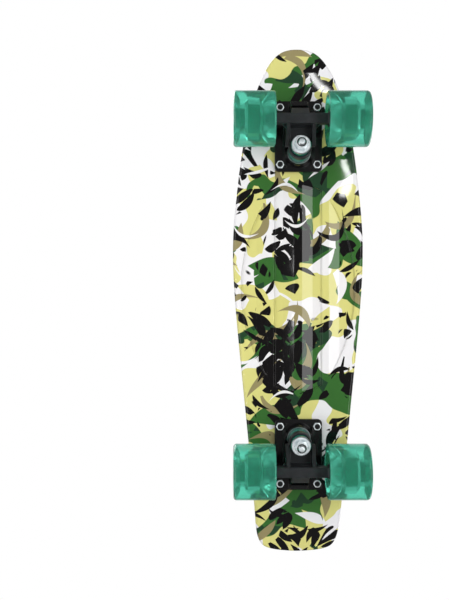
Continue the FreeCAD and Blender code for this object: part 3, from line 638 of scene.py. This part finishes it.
def makeWheel(truck, side):
    s = wheelShape
    node = f"{truck}_{side}_wheel"
    low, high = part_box(node)
    centre = (low + high) / 2
    sign = 1 if centre.x > 0 else -1
    place, direction = Vector((0, centre.y, centre.z)), Vector((sign, 0, 0))
    start = s["innerBearing"]
    first = start + s["bearingWidth"]
    second = first + s["gap"]
    outer = second + s["bearingWidth"]
    coreEnd = start + s["coreLength"]
    room = s["coreRadius"] + s["clearance"]
    seatEnd = coreEnd + s["clearance"]
    profile = [
        (start, room - s["coreChamfer"], 0),
        (start, s["hubRadius"], 0.8),
        (s["innerFace"] + 1.6, s["lipRadius"], 1.2),
        (s["innerFace"], s["lipRadius"] + 1.6, 0.8),
        (s["innerFace"], s["radius"], s["innerRound"]),
        (s["outerFace"], s["radius"], s["outerRound"]),
        (s["outerFace"], s["lipRadius"], 0.8),
        (s["outerFace"] - 1.2, s["lipRadius"] - 1.4, 0.8),
        (outer, s["hubRadius"], 0.8),
        (outer, s["seatRadius"], 0.3),
        (seatEnd, s["seatRadius"], 0),
        (seatEnd, room - s["coreChamfer"], 0),
        (seatEnd - s["coreChamfer"], room, 0),
        (start + s["coreChamfer"], room, 0),
    ]
    mesher = spun(profile, place, direction, s["steps"])
    wheel = piece(mesher, node + "_shown", bodyOf[node], "wheel_urethane", 40.0)
    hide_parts(node)
    profile = [
        (start, s["seatRadius"], 0.2),
        (start, s["coreRadius"] - s["coreChamfer"], 0),
        (start + s["coreChamfer"], s["coreRadius"], 0),
        (coreEnd - s["coreChamfer"], s["coreRadius"], 0),
        (coreEnd, s["coreRadius"] - s["coreChamfer"], 0),
        (coreEnd, s["seatRadius"], 0),
        (second, s["seatRadius"], 0),
        (second, s["shoulderRadius"], 0.2),
        (first, s["shoulderRadius"], 0.2),
        (first, s["seatRadius"], 0),
    ]
    mesher = spun(profile, place, direction, s["steps"])
    core = piece(mesher, node + "_core_shown", bodyOf[node], "wheel_core_plastic", 30.0)
    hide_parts(node + "_core")


for truck in truckNames:
    for side in sideNames:
        makeWheel(truck, side)
print("wheels made")


# the waffle tread: low pads over the deck's top, with grooves between them

tread = {
    "pitchX": 5.6,
    "pitchY": 4.4,
    "groove": 0.9,
    "height": 0.38,
    "sink": 0.25,
    "rim": 4.3,
    "boltRoom": 7.0,
    "boltHead": 4.9,
    "boltPattern": 63.5,
    "endMargin": 9.0,
}


def makeTread():
    s = tread
    shell = mergedCopy("deck")
    surface = BVHTree.FromBMesh(shell)
    shell.free()
    low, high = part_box("deck")

    def topAt(x, y):
        place, normal, index, distance = surface.ray_cast(Vector((x, y, high.z + 0.05)), Vector((0, 0, -1)))
        return place.z if place is not None else None

    near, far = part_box("deck_bolts")
    inset, pattern = s["boltHead"] * mm, s["boltPattern"] * mm
    foreY, aftY = near.y + inset, far.y - inset
    bolts = [
        Vector((x, y))
        for x in (near.x + inset, far.x - inset)
        for y in (foreY, foreY + pattern, aftY - pattern, aftY)
    ]

    def keeps(centre):
        if abs(centre.y) > high.y - s["endMargin"] * mm:
            return False
        if any((centre.xy - bolt).length < s["boltRoom"] * mm for bolt in bolts):
            return False
        reach = s["rim"] * mm
        for k in range(8):
            turn = k * math.pi / 4
            x = centre.x + math.cos(turn) * reach + math.copysign(s["pitchX"] * 0.5 * mm, math.cos(turn))
            y = centre.y + math.sin(turn) * reach
            if topAt(x, y) is None:
                return False
        return True

    across = int((high.x - low.x) / (s["pitchX"] * mm))
    along = int((high.y - low.y) / (s["pitchY"] * mm))
    mesher = bmesh.new()
    bmesh.ops.create_grid(mesher, x_segments=across, y_segments=along, size=0.5)
    bmesh.ops.scale(
        mesher, vec=(across * s["pitchX"] * mm, along * s["pitchY"] * mm, 1.0), verts=mesher.verts,
    )
    outside = [face for face in mesher.faces if not keeps(face.calc_center_median())]
    bmesh.ops.delete(mesher, geom=outside, context="FACES")
    pads = mesher.faces[:]
    inset = bmesh.ops.inset_individual(mesher, faces=pads, thickness=s["groove"] / 2 * mm, depth=0)
    bmesh.ops.delete(mesher, geom=inset["faces"], context="FACES")
    grown = bmesh.ops.extrude_face_region(mesher, geom=mesher.faces[:], use_keep_orig=True)
    upper = {v for v in grown["geom"] if isinstance(v, bmesh.types.BMVert)}
    taper = s["height"] * 0.35 * mm
    for face in {f for v in upper for f in v.link_faces if all(w in upper for w in f.verts)}:
        middle = face.calc_center_median()
        for v in face.verts:
            inward = (middle - v.co).normalized()
            v.co += inward * taper
    for v in mesher.verts:
        raised = topAt(v.co.x, v.co.y) + s["height"] * mm
        v.co.z = min(raised, high.z) if v in upper else raised - (s["height"] + s["sink"]) * mm
    bmesh.ops.recalc_face_normals(mesher, faces=mesher.faces)
    count = len(mesher.faces) // 6
    piece(mesher, "deck_tread", "board", "deck_plastic", 30.0)
    print("tread made,", count, "pads")


makeTread()


# camera, lights, floor and world

cameraSettings = {"place": (-0.0825, -0.0015, -0.974), "lens": 56.1, "sensor": 36.0}
lens = bpy.data.cameras.new("camera")
lens.lens = cameraSettings["lens"]
lens.sensor_width = cameraSettings["sensor"]
lens.clip_start = 0.01
camera = bpy.data.objects.new("camera", lens)
camera.location = cameraSettings["place"]
camera.rotation_euler = (math.pi, 0, 0)
bpy.context.scene.collection.objects.link(camera)
bpy.context.scene.camera = camera

# each light: where it stands, what it faces, its two sides in metres and how bright its face is
studio = {
    "slopePanel": {
        "place": (0.67, 0.0, -0.92), "aim": (0.0, 0.0, 0.075),
        "size": (0.30, 1.6), "glow": 3.8,
    },
    "noseStrip": {
        "place": (0.14, -0.80, -0.90), "aim": (0.0, -0.24, 0.08),
        "size": (0.016, 0.5), "glow": 26.0, "only": "deck",
    },
    "sidePatch": {
        "place": (0.195, -0.287, -0.974), "aim": (0.055, -0.143, 0.074),
        "size": (0.014, 0.10), "glow": 26.0, "only": "deck",
    },
    "metalCard": {
        "place": (0.0, 0.0, -1.25), "aim": (0.0, 0.0, 0.03),
        "size": (1.3, 1.7), "glow": 1.1, "only": "metal",
    },
    "rightLine": {
        "place": (0.38, 0.0, -0.95), "aim": (0.0, 0.0, 0.075),
        "size": (0.012, 1.6), "glow": 22.0, "only": "deck",
    },
    "leftLine": {
        "place": (-0.44, 0.0, -0.95), "aim": (0.0, 0.0, 0.075),
        "size": (0.012, 1.6), "glow": 22.0, "only": "deck",
    },
    "lowKey": {
        "place": (-1.15, 0.1, -0.80), "aim": (0.0, 0.0, 0.075),
        "size": (0.9, 1.5), "glow": 1.65,
    },
    "overhead": {
        "place": (0.0, 0.0, 3.6), "aim": (0.0, 0.0, 0.0),
        "size": (7.0, 7.0), "glow": 0.5,
    },
    "highKey": {
        "place": (-0.9, -0.9, 1.5), "aim": (0.0, 0.0, 0.05),
        "size": (1.2, 1.2), "glow": 3.2,
    },
    "highFill": {
        "place": (1.3, 0.5, 1.1), "aim": (0.0, 0.0, 0.05),
        "size": (1.0, 1.4), "glow": 1.6,
    },
}
brightMetal = ("_nut_shown", "_nuts_shown", "_washer_shown", "_kingpin_shown", "_axle_shown")
lit = {name: bpy.data.collections.new(name + "Lit") for name in ("deck", "metal")}
for thing in list(bpy.context.scene.objects):
    if thing.name in ("deck_shown", "deck_tread"):
        lit["deck"].objects.link(thing)
    elif thing.name.endswith(brightMetal):
        lit["metal"].objects.link(thing)
for name, s in studio.items():
    lamp = bpy.data.lights.new(name, "AREA")
    lamp.shape = "RECTANGLE"
    lamp.size, lamp.size_y = s["size"]
    lamp.energy = s["glow"] * math.pi * s["size"][0] * s["size"][1]
    thing = bpy.data.objects.new(name, lamp)
    thing.location = s["place"]
    # its second side lies as nearly along the deck as it can
    away = (Vector(s["place"]) - Vector(s["aim"])).normalized()
    across = Vector((0, 1, 0)).cross(away).normalized()
    thing.rotation_euler = Matrix((across, away.cross(across), away)).transposed().to_euler()
    thing.visible_camera = False
    bpy.context.scene.collection.objects.link(thing)
    if "only" in s:
        thing.light_linking.receiver_collection = lit[s["only"]]

floorMaterial, wire = newMaterial("studioFloor")
place = wire.add("ShaderNodeTexCoord", None, None, "Object")
shade = wire.between(place.noise(3.0), ink("F4F3F1"), ink("F1F0EE"))
pale = wire.add("ShaderNodeBsdfDiffuse", None, {"Color": shade})
clear = wire.add("ShaderNodeBsdfTransparent")
below = wire.add("ShaderNodeNewGeometry", None, None, "Backfacing")
face = wire.add("ShaderNodeMixShader", None, {0: below, 1: pale, 2: clear})
wire.add("ShaderNodeOutputMaterial", None, {"Surface": face}, None)
mesher = bmesh.new()
bmesh.ops.create_grid(mesher, x_segments=1, y_segments=1, size=6.0)
floorMesh = bpy.data.meshes.new("floor")
mesher.to_mesh(floorMesh)
mesher.free()
floorMesh.materials.append(floorMaterial)
floor = bpy.data.objects.new("floor", floorMesh)
floor.visible_shadow = False
floor.visible_glossy = False
bpy.context.scene.collection.objects.link(floor)

world = bpy.data.worlds.new("studio")
world.use_nodes = True
world.node_tree.nodes.clear()
wire = Wire(world.node_tree)
seen = wire.maths(
    "MAXIMUM",
    wire.add("ShaderNodeLightPath", None, None, "Is Camera Ray"),
    wire.add("ShaderNodeLightPath", None, None, "Is Transmission Ray"),
)
glow = 0.18 + seen * 0.82
air = wire.add("ShaderNodeBackground", None, {"Color": (1.0, 1.0, 1.0, 1.0), "Strength": glow})
wire.add("ShaderNodeOutputWorld", None, {"Surface": air}, None)
bpy.context.scene.world = world
bpy.context.scene.view_settings.view_transform = "Standard"
print("camera, lights and floor placed")
